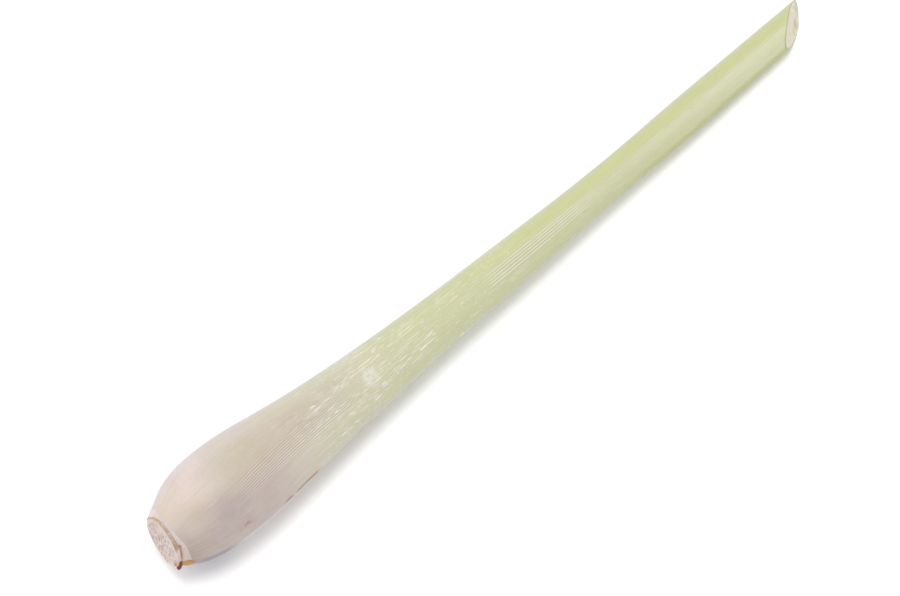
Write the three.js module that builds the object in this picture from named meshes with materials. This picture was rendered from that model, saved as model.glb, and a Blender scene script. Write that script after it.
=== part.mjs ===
// One cut lemongrass stalk, trimmed at the root and at the leaf end, lying on its side.
// Units are millimetres and +Z is up. The stalk points along +X, from the root cut to the slanted leaf
// cut, and the origin is the middle of its footprint on the surface. "Station" is the distance along the
// stalk's axis from the root cut, and "bearing" is the angle round the axis, in degrees: 0 is +Y, 90 is up
// and 180 is -Y.
import * as THREE from "three";

// Driving dimensions.
const STALK_LENGTH = 208.5; // along the axis, between the middles of the two cuts
const BULB_RADIUS = 11.56;
const FLATTENING = 0.022; // how much wider than tall the stalk is, as a share of its radius, each way
const PRESSED_DEPTH = 0.3; // how far the soft sheath flattens where it lies on the surface
const THICKEST_STATION = 18; // where the bulb is thickest and rests on the surface
const ROOT_FACE_X = -106.945; // x of the middle of the root cut, which centres the stalk's footprint
const CLEARANCE = 0.3; // air between neighbouring pieces
const LAP_CLEARANCE = 0.12; // air between the two margins of one sheath where they lap
const MARGIN_WALL = 0.3; // a sheath's thickness at its papery margins

// Each list below holds pairs: the share of the stalk's length, and the value there.
// The girth is a share of the bulb's radius.
const GIRTH = [
  [0, 0.598],
  [0.01, 0.679],
  [0.03, 0.86],
  [0.0576, 0.975],
  [0.0863, 1],
  [0.12, 0.972],
  [0.17, 0.859],
  [0.228, 0.754],
  [0.315, 0.642],
  [0.403, 0.553],
  [0.526, 0.485],
  [0.62, 0.423],
  [0.717, 0.398],
  [0.817, 0.405],
  [1, 0.373],
];
// How far the axis sways towards +Y from a straight line, in millimetres.
const SWAY = [
  [0, 0],
  [0.04, 0.19],
  [0.0863, 0],
  [0.15, -0.25],
  [0.22, -0.83],
  [0.3, -1.17],
  [0.4, -1.21],
  [0.6, -1.38],
  [0.76, -0.98],
  [0.88, -0.46],
  [1, 0],
];
// The wall thickness of each sheath, in millimetres, from the outermost in.
const SHEATH_WALLS = [
  [[0.008, 1.05], [0.06, 1.7], [0.2, 1.45], [0.5, 1.1], [1, 0.92]],
  [[0.02, 1.2], [0.07, 1.6], [0.2, 1.35], [0.5, 0.95], [1, 0.75]],
  [[0.04, 1.3], [0.08, 1.5], [0.2, 1.2], [0.5, 0.8], [1, 0.6]],
];
// How the root cut and the leaf cut lean: the station changes by this much for each millimetre along +Y
// and +Z, and by the dish times the square of the height, because the blade bowed as it went through.
const ROOT_CUT = { perY: 0.12, perZ: 0.15, dish: 0 };
const LEAF_CUT = { perY: 1.45, perZ: -0.62, dish: 0.043 };
const CUT_LEAN_REACH = 26; // the lean of a cut fades out over this length of stalk

const smooth = (value, low, high) => THREE.MathUtils.smoothstep(value, low, high);

// A smooth curve through a list of pairs, with straight ends beyond the first and the last.
function along(pairs, share) {
  const slope = (i) => {
    const [before, after] = [pairs[Math.max(i - 1, 0)], pairs[Math.min(i + 1, pairs.length - 1)]];
    return (after[1] - before[1]) / (after[0] - before[0]);
  };
  const last = pairs.length - 1;
  if (share <= pairs[0][0]) return pairs[0][1] + (share - pairs[0][0]) * slope(0);
  if (share >= pairs[last][0]) return pairs[last][1] + (share - pairs[last][0]) * slope(last);
  const i = pairs.findIndex((pair, k) => k < last && share < pairs[k + 1][0]);
  const width = pairs[i + 1][0] - pairs[i][0];
  const t = (share - pairs[i][0]) / width;
  const [t2, t3] = [t * t, t * t * t];
  return (
    (2 * t3 - 3 * t2 + 1) * pairs[i][1] +
    (t3 - 2 * t2 + t) * width * slope(i) +
    (3 * t2 - 2 * t3) * pairs[i + 1][1] +
    (t3 - t2) * width * slope(i + 1)
  );
}

const girth = (station) => BULB_RADIUS * along(GIRTH, station / STALK_LENGTH);
const wall = (layer, station) => along(SHEATH_WALLS[layer], station / STALK_LENGTH);

// The outer radius of a layer: 0 is the outermost sheath, and each layer lies one wall and one gap in.
function layerRadius(layer, station) {
  let radius = girth(station);
  for (let outer = 0; outer < layer; outer++) radius -= wall(outer, station) + CLEARANCE;
  return radius;
}

// The axis rests at both ends: on the bulb, and on the lower edge of the leaf cut.
const TALLNESS = 1 - 2 * FLATTENING;
const restHeight = (station) => girth(station) * TALLNESS - PRESSED_DEPTH;
const AXIS_SLOPE =
  (restHeight(STALK_LENGTH) - restHeight(THICKEST_STATION)) / (STALK_LENGTH - THICKEST_STATION);
const axisY = (station) => along(SWAY, station / STALK_LENGTH);
const axisZ = (station) => restHeight(THICKEST_STATION) + AXIS_SLOPE * (station - THICKEST_STATION);

// A bearing and radius at a station as y and z from the axis, and as a point at the station that the lean
// gives, pressed flat where it would sink into the surface.
function place(station, bearing, radius) {
  const angle = THREE.MathUtils.degToRad(bearing);
  const oval = 1 + FLATTENING * (Math.cos(2 * angle) - 1);
  const y = Math.cos(angle) * radius * oval;
  const z = Math.sin(angle) * radius * oval;
  const at = (s) => new THREE.Vector3(ROOT_FACE_X + s, axisY(s) + y, Math.max(axisZ(s) + z, 0));
  return { y, z, at };
}

// Moves a station with the lean of the two cuts, fully at a cut and not at all beyond the reach of its lean.
function lean(station, y, z) {
  const shift = (cut) => cut.perY * y + cut.perZ * z + cut.dish * z * z;
  const nearRoot = 1 - smooth(station, 0, CUT_LEAN_REACH);
  const nearLeaf = smooth(station, STALK_LENGTH - CUT_LEAN_REACH, STALK_LENGTH);
  return station + nearRoot * shift(ROOT_CUT) + nearLeaf * shift(LEAF_CUT);
}

// A ring of points, from [bearing, radius] pairs that run anticlockwise when seen from the leaf end.
function ring(station, section) {
  const points = section.map(([bearing, radius]) => place(station, bearing, radius));
  return {
    flat: points.map(({ y, z }) => new THREE.Vector2(y, z)),
    solid: points.map(({ y, z, at }) => at(lean(station, y, z))),
  };
}

// A closed skin over rings of equally many points, each ring further along the stalk than the last.
function skin(rings) {
  const count = rings[0].solid.length;
  const index = [];
  for (let j = 0; j + 1 < rings.length; j++) {
    for (let i = 0; i < count; i++) {
      const [a, b] = [j * count + i, j * count + ((i + 1) % count)];
      index.push(a, b, b + count, a, b + count, a + count);
    }
  }
  const first = THREE.ShapeUtils.triangulateShape(rings[0].flat, []);
  const last = THREE.ShapeUtils.triangulateShape(rings.at(-1).flat, []);
  const lastStart = (rings.length - 1) * count;
  for (const [a, b, c] of first) index.push(c, b, a);
  for (const [a, b, c] of last) index.push(lastStart + a, lastStart + b, lastStart + c);
  const geometry = new THREE.BufferGeometry().setFromPoints(rings.flatMap((r) => r.solid));
  geometry.setIndex(index);
  return geometry;
}

const materials = {
  sheath: new THREE.MeshStandardMaterial({ color: 0xcfc9a0, roughness: 0.45, metalness: 0 }),
  innerSheath: new THREE.MeshStandardMaterial({ color: 0xd3d8a4, roughness: 0.5, metalness: 0 }),
  heart: new THREE.MeshStandardMaterial({ color: 0xdcdcb6, roughness: 0.5, metalness: 0 }),
  stem: new THREE.MeshStandardMaterial({ color: 0xdccbc0, roughness: 0.7, metalness: 0 }),
  stub: new THREE.MeshStandardMaterial({ color: 0xe4dbd2, roughness: 0.5, metalness: 0 }),
  husk: new THREE.MeshStandardMaterial({ color: 0xb07a3c, roughness: 0.75, metalness: 0 }),
};

const stalk = new THREE.Group();
stalk.name = "lemongrass_stalk";

function add(name, geometry, material) {
  const mesh = new THREE.Mesh(geometry, material);
  mesh.name = name;
  stalk.add(mesh);
}

// A leaf sheath is one sheet rolled round the axis. Its under margin lies beneath its over margin where
// the two lap, and where the lap is negative they stand apart and show the next sheath.
//   overMargin and lap: pairs along the stalk, of the over margin's bearing and of the lap, in degrees
//   outside and inside: how many points go round each face; stations: where the rings stand
function sheath({ layer, overMargin, lap, outside, inside, stations }) {
  const section = (station) => {
    const share = station / STALK_LENGTH;
    const over = along(overMargin, share);
    const lapped = along(lap, share);
    const covered = Math.max(lapped, 0);
    const underDrop = (MARGIN_WALL + LAP_CLEARANCE) * smooth(lapped, -10, 0);
    const wrap = 360 + lapped;
    const radius = layerRadius(layer, station);
    const thickness = wall(layer, station);
    const face = (turn) => radius - underDrop * (1 - smooth(turn, covered + 4, covered + 49));
    const back = (turn) => {
      const underThin = 1 - smooth(turn, 0, 25);
      const overThin = smooth(turn, wrap - covered - 31, wrap - covered - 6);
      const underWall = radius - thickness + underThin * (thickness - underDrop - MARGIN_WALL);
      return underWall + overThin * (thickness - MARGIN_WALL);
    };
    const turns = (count) => Array.from({ length: count }, (_, i) => (wrap * i) / (count - 1));
    return [
      ...turns(outside).map((turn) => [over - wrap + turn, face(turn)]),
      ...turns(inside).reverse().map((turn) => [over - wrap + turn, back(turn)]),
    ];
  };
  return skin(stations.map((station) => ring(station, section(station))));
}

// Stations from a start to the leaf cut: close together in the bulb and at the cut, and wide apart between.
const LEAF_END_REACHES = [22, 13.5, 6.5, 0]; // distances of the last rings from the leaf cut
const LEAF_END_RINGS = LEAF_END_REACHES.map((reach) => STALK_LENGTH - reach);
const BULB_CROWDING = 1.6; // the higher it is, the closer the rings stand in the bulb
function spaced(start, count) {
  const reach = LEAF_END_RINGS[0] - start;
  const shares = Array.from({ length: count }, (_, i) => Math.pow(i / count, BULB_CROWDING));
  return [...shares.map((share) => start + reach * share), ...LEAF_END_RINGS];
}

const sheathStarts = [1.6, 5.5, 9];
const overMargins = [
  [[0, 186], [0.12, 184], [0.19, 187], [0.3, 199], [0.5, 209], [0.75, 217], [1, 222]],
  [[0, 20], [0.3, 8], [1, -30]],
  [[0, 200], [0.4, 215], [1, 165]],
];
const laps = [
  [[0, 46], [0.3, 34], [0.6, 3], [1, -16]],
  [[0, 60], [0.5, 40], [1, 34]],
  [[0, 60], [1, 50]],
];
const sheathNames = ["outer_sheath", "second_sheath", "third_sheath"];
const sheathGrids = [
  { outside: 50, inside: 34, rings: 27 },
  { outside: 32, inside: 26, rings: 12 },
  { outside: 26, inside: 22, rings: 10 },
];
sheathNames.forEach((name, layer) => {
  const { outside, inside, rings } = sheathGrids[layer];
  const geometry = sheath({
    layer,
    overMargin: overMargins[layer],
    lap: laps[layer],
    outside,
    inside,
    stations: spaced(sheathStarts[layer], rings),
  });
  add(name, geometry, layer === 0 ? materials.sheath : materials.innerSheath);
});

// A solid of round sections, from [station, radius] pairs.
function rod(profile, around) {
  const bearings = Array.from({ length: around }, (_, i) => (360 * i) / around);
  const round = (radius) => bearings.map((bearing) => [bearing, radius]);
  return skin(profile.map(([station, radius]) => ring(station, round(radius))));
}

// The tight roll of young leaves at the heart of the stalk stands on the tip of the basal stem.
const HEART_START = 15;
const HEART_TAPER = { share: 0.72, reach: 8 }; // how slender its root end is, and how soon it fills out
const heartProfile = spaced(HEART_START, 9).map((station) => {
  const filled = smooth(station, HEART_START, HEART_START + HEART_TAPER.reach);
  return [station, layerRadius(3, station) * THREE.MathUtils.lerp(HEART_TAPER.share, 1, filled)];
});
add("heart_leaf", rod(heartProfile, 18), materials.heart);

// The basal stem: the flat root cut, a short cylinder, and a blunt cone that the sheaths clasp.
const STEM_RADIUS = 6.3;
const stemProfile = [
  [-0.35, STEM_RADIUS - 0.2],
  [-0.1, STEM_RADIUS],
  [4.6, STEM_RADIUS - 0.1],
  [7.6, STEM_RADIUS - 0.6],
  [9.2, STEM_RADIUS - 1.1],
  [12, 3.9],
  [14, 2.2],
  [14.6, 0.9],
];
add("basal_stem", rod(stemProfile, 24), materials.stem);

// A closed ring whose outline is [station, radius] pairs, which run outwards on the root side.
function hoop(outline, around) {
  const positions = [];
  const index = [];
  for (let i = 0; i < around; i++) {
    for (const [station, radius] of outline) {
      const { y, z, at } = place(station, (360 * i) / around, radius);
      positions.push(at(lean(station, y, z)));
    }
  }
  const count = outline.length;
  for (let i = 0; i < around; i++) {
    for (let j = 0; j < count; j++) {
      const [a, b] = [i * count + j, i * count + ((j + 1) % count)];
      const [c, d] = [((i + 1) % around) * count + j, ((i + 1) % around) * count + ((j + 1) % count)];
      index.push(a, d, b, a, c, d);
    }
  }
  const geometry = new THREE.BufferGeometry().setFromPoints(positions);
  geometry.setIndex(index);
  return geometry;
}

// The stub that a peeled-off older sheath left round the root end, cut square on the root side.
const STUB_START = 0.3;
const STUB_END = sheathStarts[0] - CLEARANCE;
const stubOutline = [
  [STUB_START, STEM_RADIUS + CLEARANCE],
  [STUB_START, girth(STUB_START) - 0.1],
  [STUB_START + 0.2, girth(STUB_START + 0.2)],
  [STUB_END, girth(STUB_END)],
  [STUB_END, STEM_RADIUS + CLEARANCE],
];
add("peeled_sheath_stub", hoop(stubOutline, 32), materials.stub);

// A thin scale that lies on the outside of the stalk: thickest along its middle, and narrow at its far end.
function scale({ station, bearing, length, width, thickness, lift, steps }) {
  const rings = [];
  for (let j = 0; j <= steps; j++) {
    const at = station + (length * j) / steps;
    const base = girth(at) + lift;
    const reach = THREE.MathUtils.radToDeg(width / 2 / base) * (1 - 0.65 * (j / steps) ** 2);
    rings.push(
      ring(at, [
        [bearing - reach, base + thickness * 0.4],
        [bearing, base + thickness],
        [bearing + reach, base + thickness * 0.4],
        [bearing + reach, base],
        [bearing - reach, base],
      ]),
    );
  }
  return skin(rings);
}

// The dried tatter of an old sheath that still clings to the root end.
const husk = { station: 0.6, bearing: 207, length: 3.6, width: 2.2, thickness: 0.45 };
add("husk_sliver", scale({ ...husk, lift: CLEARANCE, steps: 4 }), materials.husk);

export default stalk;
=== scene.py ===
"""A fresh lemongrass stalk that lies on its side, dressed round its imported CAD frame.

Everything is in metres in the frame's axes: +X runs along the stalk from the root cut to the slanted leaf
cut, and +Z is up. "Station" is the distance along the stalk's axis from the root cut, and "share" is the
station as a share of the stalk's length. "Bearing" is the angle round the axis in degrees: 0 is +Y, 90 is up
and 180 is -Y. "Breadth" is the place across a rolled sheet, from 0 at its under margin to 1 at its over
margin.
"""

import bpy
import numpy as np
from bpy.props import FloatProperty, FloatVectorProperty, PointerProperty
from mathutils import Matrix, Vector


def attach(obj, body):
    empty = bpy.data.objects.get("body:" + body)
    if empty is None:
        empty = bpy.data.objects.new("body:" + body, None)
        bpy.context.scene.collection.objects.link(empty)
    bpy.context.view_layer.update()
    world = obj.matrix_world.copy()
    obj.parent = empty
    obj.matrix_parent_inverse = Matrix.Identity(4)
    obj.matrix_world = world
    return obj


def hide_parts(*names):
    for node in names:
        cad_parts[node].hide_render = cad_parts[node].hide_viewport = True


bl_info = {
    "name": "Lemongrass Stalk",
    "version": (1, 0, 0),
    "blender": (4, 5, 0),
    "location": "View3D > Sidebar > Lemongrass",
    "description": "Builds the sheaths, the cuts and the root end of a fresh lemongrass stalk",
    "category": "Object",
}

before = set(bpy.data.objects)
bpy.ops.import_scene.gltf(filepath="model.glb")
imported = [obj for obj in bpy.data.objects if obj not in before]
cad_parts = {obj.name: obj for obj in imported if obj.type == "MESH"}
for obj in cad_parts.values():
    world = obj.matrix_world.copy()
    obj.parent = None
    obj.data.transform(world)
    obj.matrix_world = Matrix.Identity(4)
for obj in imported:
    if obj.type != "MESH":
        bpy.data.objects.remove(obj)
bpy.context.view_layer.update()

MM = 0.001

# ---------------- the form that the frame gives

STALK_LENGTH = 208.5 * MM
BULB_RADIUS = 11.56 * MM
FLATTENING = 0.022
PRESSED_DEPTH = 0.3 * MM
THICKEST_STATION = 18 * MM
ROOT_FACE_X = -106.945 * MM

# How far each cut moves the station: for each metre of y and of z, and for each square metre of z.
CUT_LEAN_REACH = 26 * MM
ROOT_CUT = (0.12, 0.15, 0.0)
LEAF_CUT = (1.45, -0.62, 0.043 / MM)

# Pairs of the share of the stalk's length and the value there. The girth is a share of the bulb's radius.
GIRTH = [
    (0, 0.598), (0.01, 0.679), (0.03, 0.86), (0.0576, 0.975), (0.0863, 1), (0.12, 0.972), (0.17, 0.859),
    (0.228, 0.754), (0.315, 0.642), (0.403, 0.553), (0.526, 0.485), (0.62, 0.423), (0.717, 0.398),
    (0.817, 0.405), (1, 0.373),
]
SWAY_MM = [
    (0, 0), (0.04, 0.19), (0.0863, 0), (0.15, -0.25), (0.22, -0.83), (0.3, -1.17), (0.4, -1.21),
    (0.6, -1.38), (0.76, -0.98), (0.88, -0.46), (1, 0),
]
WALLS_MM = [
    [(0.008, 1.05), (0.06, 1.7), (0.2, 1.45), (0.5, 1.1), (1, 0.92)],
    [(0.02, 1.2), (0.07, 1.6), (0.2, 1.35), (0.5, 0.95), (1, 0.75)],
    [(0.04, 1.3), (0.08, 1.5), (0.2, 1.2), (0.5, 0.8), (1, 0.6)],
]
OVER_MARGINS = [
    [(0, 186), (0.12, 184), (0.19, 187), (0.3, 199), (0.5, 209), (0.75, 221), (1, 246)],
    [(0, 20), (0.3, 8), (1, -30)],
    [(0, 200), (0.4, 215), (1, 165)],
]
LAPS = [
    [(0, 46), (0.3, 34), (0.6, 10), (1, 5)],
    [(0, 60), (0.5, 40), (1, 34)],
    [(0, 60), (1, 50)],
]
FRAME_GAP = 0.3 * MM  # the frame's air between two layers, which the living layers nearly fill
LAYER_GAP = 0.02 * MM
LAP_GAP = 0.03 * MM

# ---------------- what only the looks need

# The lower edge of the leaf cut stands out, from this height down and between these places across.
LEAF_LIP = 0.1 / MM
LIP_TOP = -1.5 * MM
LIP_ACROSS = (-2.5 * MM, 1.0 * MM)

# The rib band keeps its own line along the sheet: the bearing of its middle at each share of the length.
SHEET_DEGREES = 406  # the breadth of the outer sheath, in degrees round the bulb
RIB_MIDDLE = 347  # the middle of the rib band, in the same degrees from the under margin
RIB_BEARING = [
    (0, 132), (0.08, 127), (0.11, 123), (0.166, 118), (0.22, 114.5), (0.35, 113), (0.55, 114), (1, 111),
]
RIB_PITCH = 2.9  # from one rib to the next on the bulb, in the same degrees
LEAF_RIB_PITCH = 5.0  # from one rib to the next on the slender part
SHEET_BEND = 4  # how quickly the veins spread beyond the rib band, where the sheet unrolls

# Swellings of the low side above the bulb: height, and middle and reach as shares of the stalk's length.
LOW_SWELLS = [(0.28 * MM, 0.086, 0.065), (0.55 * MM, 0.172, 0.055)]
LOW_SIDE = (202, 32)  # the middle and the reach of the low side, as bearings

# Where the skin starts round the root end, and where the pared bevel under it starts: bearing, millimetres.
SKIN_START_MM = [
    (0, 1.0), (15, 0.95), (44, 0.9), (60, 0.72), (82, 0.62), (111, 0.82), (130, 1.2), (144, 1.68), (158, 1.9),
    (172, 2.1), (190, 2.2), (215, 1.9), (250, 1.3), (300, 1.1), (330, 1.05), (360, 1.0),
]
BEVEL_START_MM = [
    (0, -0.45), (18, -0.66), (40, -0.6), (52, -0.4), (62, -0.2), (82, 0.0), (111, 0.1), (130, 0.28),
    (142, 0.48), (155, 0.3), (171, 0.04), (190, 0.0), (215, 0.2), (250, 0.35), (300, 0.3), (335, 0.0),
    (360, -0.45),
]

WALL_DEPTHS = np.array([0.2, 0.5, 0.8])  # the depths in a wall of a margin's points and of a cut's rings
MARGIN_WALL = 0.12 * MM
MARGIN_TAPER = 1.5  # the degrees over which the wall thins towards a margin
CUT_BEARING = 110.0  # the bearing mark of a cut's rings
SECOND_SHEATH_START = 5.5 * MM
THIRD_SHEATH_START = 9 * MM

HEART_START = 15 * MM
HEART_TWIST = 0.4  # degrees for each millimetre
HEART_RINGS = [0.93, 0.8, 0.6, 0.4, 0.2, 0.08]  # radii of the cut end's rings, as shares of its own
HEART_COLUMNS = 72

STEM_RADIUS = 6.4 * MM
FACE_RADIUS = 6.06 * MM
STEM_FACE = -0.78 * MM
STEM_END = 14.7 * MM
STEM_SIDE_MM = [  # station and radius down the side of the stem
    (-0.6, 6.22), (-0.4, 6.3), (-0.1, 6.36), (0.3, 6.4), (0.7, 6.38), (1.6, 6.3), (4.6, 6.2), (7.6, 5.7),
    (9.2, 5.2), (12, 3.9), (14, 2.2), (14.6, 0.9),
]

# Pits in the root cut, in millimetres: y and z on the cut, half size, and depth as a share of the deepest.
CHOSEN_PITS = [
    (0.95, 0.4, 0.24, 1.0), (-0.3, 3.3, 0.22, 1.0), (-0.25, -1.35, 0.24, 1.0), (-0.05, -2.9, 0.24, 0.9),
    (0.2, 2.3, 0.2, 0.9), (-1.2, 2.5, 0.2, 0.7), (-0.6, 1.0, 0.2, 0.7), (4.1, -2.6, 0.18, 0.6),
]
SEEDED_PITS = 170
PITTED_RADIUS_MM = 5.2
PIT_STRETCH = 0.38  # a pit's breadth as a share of its height
PITH_EDGE_MM = (4.6, 5.7)  # the radii between which the pith gives way to the smooth band
FACE_RINGS = 52
STEM_COLUMNS = 168

NUB_PLACE = (STEM_FACE + 0.1 * MM, 186, 5.85 * MM)  # station, bearing and radius
NUB_SHAPE = np.array([0.85, 1.0, 1.05])  # its stretch along x, y and z
NUB_ROWS, NUB_COLUMNS = 18, 30

STUB_COLUMNS = 300
BEVEL_SHARES = np.array([0.0, 0.06, 0.2, 0.4, 0.6, 0.8, 0.94, 1.0])  # the rows up the pared bevel

HUSK_START = -0.85 * MM
HUSK_LENGTH = 3.75 * MM
HUSK_BEARING = 189
HUSK_HALF_DEGREES = 10.5
HUSK_ENDS = [(-0.95 * MM, 196, 6.75 * MM), (3.0 * MM, 187, 8.45 * MM)]  # station, bearing and radius
HUSK_ROWS, HUSK_COLUMNS = 40, 44

# Broad patches in the skin's colour: the colour, its shares of the length, its bearings, how clouds thin it
# and its amount. Two limits are a rise from the first to the second, and three a window with soft edges.
SKIN_PATCHES = [
    ("foot_beige", (0.075, 0.025), (50, 158, 18), (0.3, 0.6, 0.4, 0.9), 1.0),
    # partly painted shade: a darker grey pink flush over the bulb's lower side, partly the skin's own blush
    ("bulb_blush_and_shade", (0.2, 0.1), (78, 135), (0.25, 0.7, 0.6, 1.0), 1.0),
    ("bulb_pink", (0.012, 0.08, 0.014), (15, 92, 20), (0.4, 0.62, 0.3, 1.0), 0.82),
    # partly painted shade: darker mauve low on the bulb's near flank, partly the skin's own tint
    ("bulb_mauve_and_shade", (0.042, 0.088, 0.03), (118, 184, 20), (0.3, 0.6, 0.15, 0.32), 1.0),
    ("shoulder_tan", (0.08, 0.25, 0.05), (72, 120, 14), (0.25, 0.6, 0.6, 1.0), 0.8),
    # partly painted shade: darker, browner skin low beside the root cut, next to the floor
    ("heel_brown_and_shade", (0.045, 0.005), (148, 200, 16), None, 0.7),
    # painted shade: grey purple along the bulb's low edge next to the floor, in two windows round it
    ("under_edge_shade", (0.012, 0.06, 0.014), (184, 200, 5), None, 0.9),
    ("under_edge_shade", (0.012, 0.06, 0.014), (-176, -115, 5), None, 0.9),
    # partly a painted highlight: a lighter band along the slender part's midrib, where its ridge catches the
    # light
    ("leaf_pale_and_highlight", (0.5, 0.75), (98, 128, 12), None, 0.75),
    ("tip_pale", (0.7, 0.95), (95, 168, 14), None, 0.45),
    ("leaf_rich", (0.3, 0.6), (58, 92, 12), None, 0.7),
    # partly painted shade: a greener, darker underside of the slender part
    ("leaf_shade", (0.3, 0.6), (150, 205), None, 0.7),
]

# Dashes of wax: short ones, thin ones and grains. Each is a noise's stretch, its shift and what is added.
WAX_DASHES = [
    ((262, 60, 1), (7.1, 3.7, 0), 0.0),
    ((285, 14, 1), (2.9, 8.4, 0), 0.0),
    ((255, 215, 1), (6.1, 2.3, 0), -0.06),
]
# Groups where the dashes crowd: windows of the share of the length and of the bearing.
WAX_GROUPS = [((0.21, 0.4, 0.04), (62, 100, 10)), ((0.31, 0.39, 0.03), (120, 146, 8))]

# The place where the wax is rubbed to a dull white: station, lowest and highest bearing, and half length.
SCUFFED_PLACE = (60.1 * MM, 98.5, 126.5, 2.8 * MM)

# Small brown marks in the skin: station, bearing, half length, half breadth on the map, and strength.
SKIN_SCARS = [
    (15.9 * MM, 162.5, 1.4 * MM, 0.01, 0.5),
    (14.4 * MM, 166, 1.8 * MM, 0.007, 0.25),
    (32.8 * MM, 92.5, 0.4 * MM, 0.004, 0.5),
    (52.6 * MM, 76, 0.24 * MM, 0.016, 0.25),
    (169.4 * MM, 106.5, 0.24 * MM, 0.005, 0.4),
]

# Browned places in the leaf cut: where they are in the frame and their reach, in millimetres, and strength.
CUT_STAINS = [((103.6, 0.3, 1.5), 2.1, 0.75), ((101.3, -1.2, 2.0), 0.9, 0.55), ((103.0, 1.0, 3.6), 1.0, 0.3)]

# The view: the place that it looks at, the degrees round and up from there, how far off it is and its lens.
VIEW_TARGET = (-16.293 * MM, 1.516 * MM, 8.0 * MM)
VIEW_AZIMUTH = -43.962
VIEW_ELEVATION = 61.366
VIEW_DISTANCE = 0.6747
VIEW_LENS = 114.04

FLOOR_HALF = 3.0
SURROUND_COLOUR = (0.97, 0.97, 1.0, 1.0)
SURROUND_STRENGTH = 0.935
LAMPS = [  # name, size, energy and place
    ("overhead_softbox", 0.45, 4.0, (-0.1, 0.03, 1.0)),
    ("far_fill", 0.8, 1.5, (-0.3, 0.8, 0.6)),
    ("near_fill", 0.9, 0.8, (0.25, -0.85, 0.45)),
]


# ---------------- curves and noise

def smooth(value, low, high):
    """Rises from 0 at low to 1 at high as 3t squared minus 2t cubed."""
    t = np.clip((value - low) / (high - low), 0, 1)
    return t * t * (3 - 2 * t)


def band(value, start, full, fade, end):
    """1 between full and fade, and 0 before start and beyond end: a smooth rise times a smooth fall."""
    return smooth(value, start, full) * (1 - smooth(value, fade, end))


def hump(value, middle, reach):
    """A bell: e to the power of minus the squared distance from the middle over the reach."""
    return np.exp(-(((value - middle) / reach) ** 2))


def bearing_hump(bearing, middle, reach):
    """A bell of the bearing, in which the distance from the middle is taken the shorter way round."""
    return hump(np.mod(bearing - middle + 180, 360), 180, reach)


def along(pairs, share):
    """A smooth curve through pairs: cubic between two of them, with each slope taken from the neighbours on
    both sides, and straight beyond the first and the last."""
    x, y = np.array(pairs, float).T
    before = np.maximum(np.arange(len(x)) - 1, 0)
    after = np.minimum(np.arange(len(x)) + 1, len(x) - 1)
    slope = (y[after] - y[before]) / (x[after] - x[before])
    share = np.asarray(share, float)
    inside = np.clip(share, x[0], x[-1])
    i = np.clip(np.searchsorted(x, inside, side="right") - 1, 0, len(x) - 2)
    width = x[i + 1] - x[i]
    t = (inside - x[i]) / width
    curve = (
        (2 * t**3 - 3 * t**2 + 1) * y[i]
        + (t**3 - 2 * t**2 + t) * width * slope[i]
        + (3 * t**2 - 2 * t**3) * y[i + 1]
        + (t**3 - t**2) * width * slope[i + 1]
    )
    return curve + np.minimum(share - x[0], 0) * slope[0] + np.maximum(share - x[-1], 0) * slope[-1]


def waves(x, y, count, span, seed):
    """A gentle unevenness about 0: a sum of seeded cosine waves over two coordinates, whose lengths are
    between one and four times the span."""
    rng = np.random.default_rng(seed)
    total = np.zeros(np.broadcast(x, y).shape)
    for turn, longer, phase in rng.random((count, 3)):
        angle, size = 2 * np.pi * turn, span * (1 + 3 * longer)
        total += np.cos(2 * np.pi * ((x * np.cos(angle) + y * np.sin(angle)) / size + phase))
    return total / np.sqrt(2 * count)


def stepped(zones):
    """Places from 0 to 1 whose steps come from zones, each with its end and the step in it."""
    places = np.array([0.0])
    for end, step in zones:
        count = max(int(round((end - places[-1]) / step)), 1)
        places = np.append(places, np.linspace(places[-1], end, count + 1)[1:])
    return places / places[-1]


def all_round(count, turn=360):
    """Equal steps of one full turn as a row, in degrees unless another full turn is given."""
    return np.linspace(0, turn, count, endpoint=False)[None, :]


# ---------------- the stalk's form

def girth(station):
    """The stalk's outer radius: the bulb's radius times the girth curve."""
    return BULB_RADIUS * along(GIRTH, station / STALK_LENGTH)


def wall(layer, station):
    """A sheath's thickness, grown by most of the gap that the frame leaves under it."""
    return MM * along(WALLS_MM[layer], station / STALK_LENGTH) + FRAME_GAP - LAYER_GAP


def layer_radius(layer, station):
    """The outer radius of a layer: the girth, less a wall and a gap for each layer outside it."""
    return girth(station) - sum(wall(outer, station) + LAYER_GAP for outer in range(layer))


def rest_height(station):
    """The axis height at which the stalk would just lie pressed on the surface."""
    return girth(station) * (1 - 2 * FLATTENING) - PRESSED_DEPTH


def lean(station, y, z):
    """The station moved by the two cuts, fully at a cut and not at all beyond the reach of its lean. At the
    leaf cut the lower edge is moved on by the square of the depth below the lip's top."""
    near_root = 1 - smooth(station, 0, CUT_LEAN_REACH)
    near_leaf = smooth(station, STALK_LENGTH - CUT_LEAN_REACH, STALK_LENGTH)
    root, leaf = (per_y * y + per_z * z + dish * z * z for per_y, per_z, dish in (ROOT_CUT, LEAF_CUT))
    lip = LEAF_LIP * np.minimum(z - LIP_TOP, 0) ** 2 * smooth(-y, *LIP_ACROSS)
    return station + near_root * root + near_leaf * (leaf + lip)


def axis_height(station):
    """The height of the axis: a straight line from the thickest station to the leaf cut."""
    slope = (rest_height(STALK_LENGTH) - rest_height(THICKEST_STATION)) / (STALK_LENGTH - THICKEST_STATION)
    return rest_height(THICKEST_STATION) + slope * (station - THICKEST_STATION)


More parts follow.
